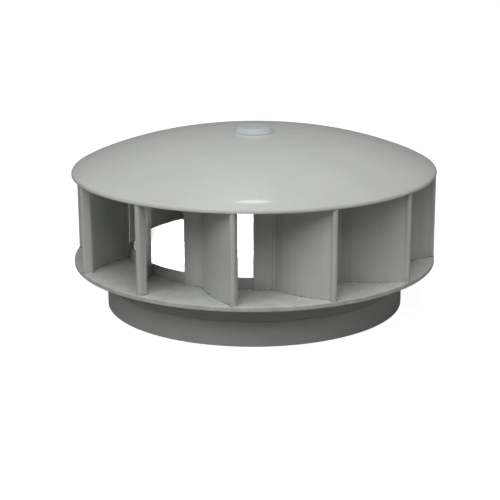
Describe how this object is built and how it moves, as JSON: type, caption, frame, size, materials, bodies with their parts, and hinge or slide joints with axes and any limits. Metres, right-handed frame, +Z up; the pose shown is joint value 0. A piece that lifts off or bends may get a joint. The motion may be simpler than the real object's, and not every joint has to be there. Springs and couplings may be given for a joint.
{
  "type": "cowl vent",
  "caption": "Static round ventilation cowl in grey plastic: a domed cover over a ring of curved swirl vanes on a flat base plate, with a socket for a round duct.",
  "frame": {"origin": "centre of the lower rim of the pipe socket, on the plane it stands on", "axes": "+Z up along the duct's axis to the crown; -Y is the front; vane_01's lip is to the right of the front"},
  "size_m": [0.2, 0.2, 0.0983],
  "materials": {
    "grey_upvc": "light grey rigid PVC with a soft satin skin",
    "cap_plastic": "slightly bluer and lighter grey moulded plastic",
    "zinc_steel": "zinc plated steel"
  },
  "bodies": {
    "cowl": {"dome_cover": "grey_upvc", "top_plate": "grey_upvc", "spacer_tube": "grey_upvc", "centre_screw": "zinc_steel", "screw_washer": "zinc_steel", "nut_washer": "zinc_steel", "lock_nut": "zinc_steel", "base_plate": "grey_upvc", "throat_ring": "grey_upvc", "neck_ring": "grey_upvc", "socket_sleeve": "grey_upvc", "vane_01": "grey_upvc", "vane_02": "grey_upvc", "vane_03": "grey_upvc", "vane_04": "grey_upvc", "vane_05": "grey_upvc", "vane_06": "grey_upvc", "vane_07": "grey_upvc", "vane_08": "grey_upvc", "vane_09": "grey_upvc", "vane_10": "grey_upvc", "vane_11": "grey_upvc", "vane_12": "grey_upvc"},
    "cap": {"cap_plug": "cap_plastic"}
  },
  "joints": [
    {"name": "cap_lift", "type": "slide", "parent": "cowl", "child": "cap", "axis": [0, 0, 1], "range_m": [0, 0.01]}
  ]
}
